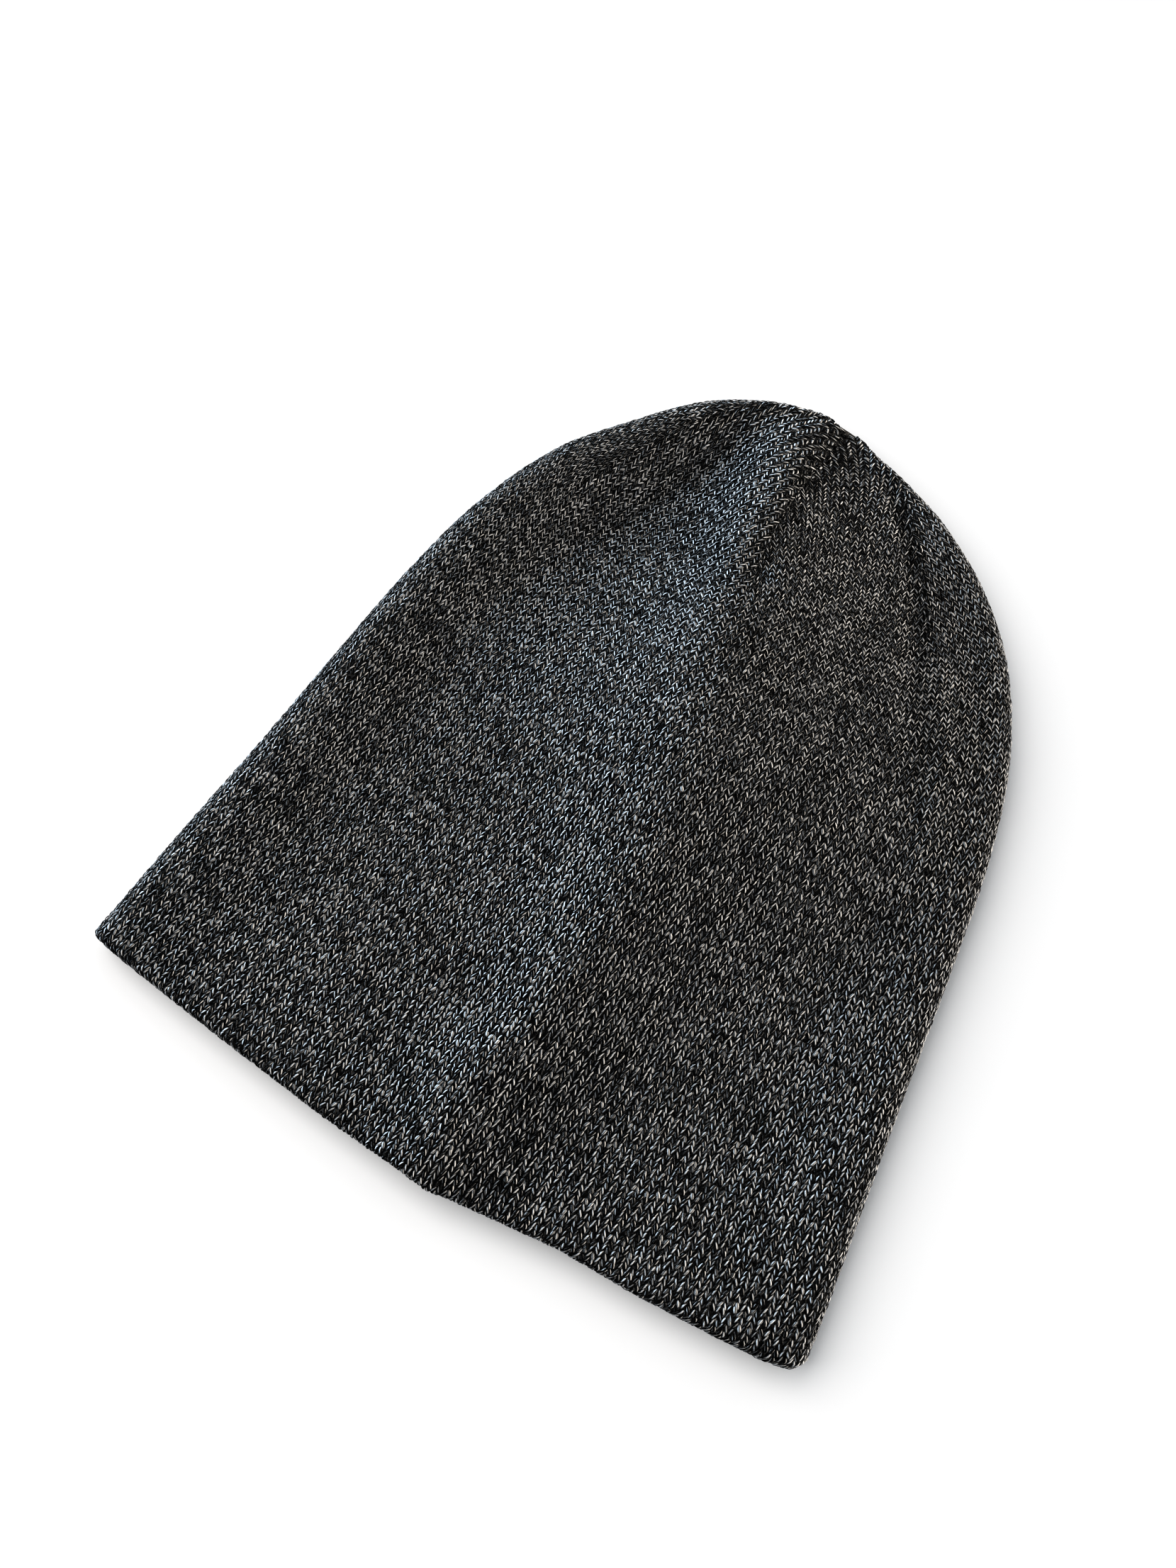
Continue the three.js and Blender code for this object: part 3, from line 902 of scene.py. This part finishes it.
def make_camera(stage):
    """The camera, its focal length worked out from a share of the film's width."""
    lens = bpy.data.cameras.new("camera")
    lens.sensor_fit = "HORIZONTAL"
    lens.sensor_width = FILM_WIDTH
    lens.lens = FILM_WIDTH * stage.focal_share
    lens.clip_start = 0.01
    camera = bpy.data.objects.new("camera", lens)
    camera.matrix_world = camera_matrix(stage)
    bpy.context.scene.collection.objects.link(camera)
    return camera


class KnitSettings(bpy.types.PropertyGroup):
    """Sizes and colours of the knit."""

    wales_per_gore: IntProperty(
        name="Wales per Gore", description="Columns of stitches in each of the six gores", default=29, min=5)
    rows_inside: IntProperty(
        name="Rows Inside", description="Rows of stitches that go on inside the mouth", default=8, min=2)
    wale_pitch: FloatProperty(
        name="Wale Pitch", description="Distance between two columns of stitches",
        default=2.44 * MM, unit="LENGTH", precision=5)
    leg_width: FloatProperty(
        name="Leg Width", description="Width of one leg of a stitch",
        default=0.82 * MM, unit="LENGTH", precision=5)
    leg_bulge: FloatProperty(
        name="Leg Bulge", description="Height of a leg's middle line over its edges",
        default=0.16 * MM, unit="LENGTH", precision=5)
    leg_crown: FloatProperty(
        name="Leg Crown", description="Height of a leg's middle over the cap's face",
        default=0.06 * MM, unit="LENGTH", precision=5)
    leg_sink: FloatProperty(
        name="Leg Sink", description="Height of a leg's ends over the cap's face",
        default=-0.35 * MM, unit="LENGTH", precision=5)
    ply_angle: FloatProperty(
        name="Ply Angle", description="Slant of the strands on a leg",
        default=math.radians(5), subtype="ANGLE")
    strand_width: FloatProperty(
        name="Strand Width", description="Width of one strand of the yarn",
        default=0.46 * MM, unit="LENGTH", precision=5)
    ground_depth: FloatProperty(
        name="Ground Depth", description="Depth of the ground under the cap's face",
        default=0.6 * MM, unit="LENGTH", precision=5)
    ground_around: IntProperty(
        name="Ground Around", description="Faces round the ground", default=180, min=24)
    pale_yarn: FloatVectorProperty(
        name="Pale Yarn", description="Colour of the pale strands", subtype="COLOR",
        default=(0.62, 0.63, 0.64))
    dark_yarn: FloatVectorProperty(
        name="Dark Yarn", description="Colour of the black strands", subtype="COLOR",
        default=(0.002, 0.0021, 0.0024))


class StageSettings(bpy.types.PropertyGroup):
    """The camera, the lights and the floor."""

    camera_at: FloatVectorProperty(
        name="Camera Place", description="Where the camera stands", subtype="TRANSLATION",
        default=(0.0407, -0.17275, 0.2868))
    pitch_down: FloatProperty(
        name="Pitch Down", description="How far the camera looks down from level",
        default=math.radians(61.6), subtype="ANGLE")
    roll: FloatProperty(
        name="Roll", description="Turn of the camera about its view",
        default=math.radians(-9.1), subtype="ANGLE")
    heading: FloatProperty(
        name="Heading", description="Turn of the view to the left of the cap's length",
        default=math.radians(-20.72), subtype="ANGLE")
    focal_share: FloatProperty(
        name="Focal Share", description="Focal length over the picture's width", default=1500 / 1659)
    exposure: FloatProperty(
        name="Exposure", description="Exposure of the picture in stops", default=0.5)
    gamma: FloatProperty(
        name="Gamma", description="Gamma of the picture; under one deepens its darks", default=0.8)
    window_power: FloatProperty(
        name="Window Power", description="Power of the window light", default=80.0, unit="POWER")
    window_turn: FloatProperty(
        name="Window Turn",
        description="Side that the window light comes from, turned left from the cap's tip",
        default=math.radians(78), subtype="ANGLE")
    window_rise: FloatProperty(
        name="Window Rise", description="Height of the window light over the floor as an angle",
        default=math.radians(3.5), subtype="ANGLE")
    window_away: FloatProperty(
        name="Window Distance", description="Distance of the window light", default=1.6, unit="LENGTH")
    window_size: FloatProperty(
        name="Window Size", description="Width of the window light", default=0.7, unit="LENGTH")
    window_height: FloatProperty(
        name="Window Height", description="Height of the window light, low so that it only skims the cap",
        default=0.2, unit="LENGTH")
    window_colour: FloatVectorProperty(
        name="Window Colour", description="Colour of the window light", subtype="COLOR",
        default=(0.72, 0.87, 1.0))
    room_at: FloatVectorProperty(
        name="Room Lamp Place", description="Where the warm lamp across from the window stands",
        subtype="TRANSLATION", default=(1.25, 0.65, 0.45))
    room_size: FloatProperty(
        name="Room Lamp Size", description="Side of the warm lamp", default=1.05, unit="LENGTH")
    room_power: FloatProperty(
        name="Room Lamp Power", description="Power of the warm lamp", default=46.0, unit="POWER")
    room_colour: FloatVectorProperty(
        name="Room Lamp Colour", description="Colour of the warm lamp", subtype="COLOR",
        default=(1.0, 0.88, 0.74))
    table_at: FloatVectorProperty(
        name="Table Lamp Place", description="Where the lamp that lights the floor alone stands",
        subtype="TRANSLATION", default=(-1.9, -0.4, 2.1))
    table_size: FloatProperty(
        name="Table Lamp Size", description="Side of the floor's lamp", default=3.0, unit="LENGTH")
    table_power: FloatProperty(
        name="Table Lamp Power", description="Power of the floor's lamp", default=57.0, unit="POWER")
    sky_colour: FloatVectorProperty(
        name="Sky Colour", description="Colour of the light from all round", subtype="COLOR",
        default=(0.885, 0.94, 1.0))
    sky_strength: FloatProperty(
        name="Sky Strength", description="Strength of the light from all round", default=0.45)
    floor_colour: FloatVectorProperty(
        name="Floor Colour", description="Colour of the floor", subtype="COLOR", default=(0.96, 0.93, 0.9))


class CAP_OT_ground(bpy.types.Operator):
    """Make the ground of the knit, inside and out, in place of the plain solid"""

    bl_idname = "watch_cap.ground"
    bl_label = "Knit Ground"

    def execute(self, context):
        piece = make_ground(context.scene.knit_settings)
        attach(piece, "root")
        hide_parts(NODE)
        return {"FINISHED"}


class CAP_OT_stitches(bpy.types.Operator):
    """Make the stitches of all six gores"""

    bl_idname = "watch_cap.stitches"
    bl_label = "Stitches"

    def execute(self, context):
        knit = context.scene.knit_settings
        yarn = yarn_material(knit)
        tones = yarn_tones(knit.rows_inside + len(row_reaches()), GORES * knit.wales_per_gore)
        for gore in range(GORES):
            sections = UNDER_SECTIONS if gore in UNDER_GORES else LEG_SECTIONS
            piece = make_gore(knit, gore, sections, tones, yarn)
            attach(piece, "root")
            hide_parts(NODE)
        return {"FINISHED"}


class CAP_OT_stage(bpy.types.Operator):
    """Make the floor, the lights and the camera"""

    bl_idname = "watch_cap.stage"
    bl_label = "Stage"

    def execute(self, context):
        scene = context.scene
        stage = scene.stage_settings
        scene.view_settings.view_transform = "Standard"
        scene.view_settings.exposure = stage.exposure
        scene.view_settings.gamma = stage.gamma
        floor = make_floor(stage)
        make_lamps(stage, floor)
        scene.world = make_world(stage)
        scene.camera = make_camera(stage)
        return {"FINISHED"}


class CAP_PT_panel(bpy.types.Panel):
    """The watch cap's operators and settings"""

    bl_idname = "CAP_PT_panel"
    bl_label = "Watch Cap"
    bl_space_type = "VIEW_3D"
    bl_region_type = "UI"
    bl_category = "Watch Cap"

    def draw(self, context):
        """A button for each operator, and a box for each group of settings."""
        for operator in OPERATORS:
            self.layout.operator(operator.bl_idname)
        for settings in (context.scene.knit_settings, context.scene.stage_settings):
            box = self.layout.box()
            for name in settings.bl_rna.properties.keys():
                if name not in ("rna_type", "name"):
                    box.prop(settings, name)


OPERATORS = (CAP_OT_ground, CAP_OT_stitches, CAP_OT_stage)
CLASSES = (KnitSettings, StageSettings, *OPERATORS, CAP_PT_panel)


def register():
    """Registers the classes and hangs the settings on the scene."""
    for cls in CLASSES:
        bpy.utils.register_class(cls)
    bpy.types.Scene.knit_settings = PointerProperty(type=KnitSettings)
    bpy.types.Scene.stage_settings = PointerProperty(type=StageSettings)


def unregister():
    """Takes the settings and the classes away again."""
    del bpy.types.Scene.stage_settings
    del bpy.types.Scene.knit_settings
    for cls in reversed(CLASSES):
        bpy.utils.unregister_class(cls)


def corners(box):
    """The two corners of a box as plain lists."""
    return [list(map(float, corner)) for corner in box]


def main():
    """Makes every piece and the stage."""
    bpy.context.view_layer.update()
    register()
    bpy.ops.watch_cap.ground()
    bpy.ops.watch_cap.stitches()
    bpy.ops.watch_cap.stage()


if __name__ == "__main__":
    main()
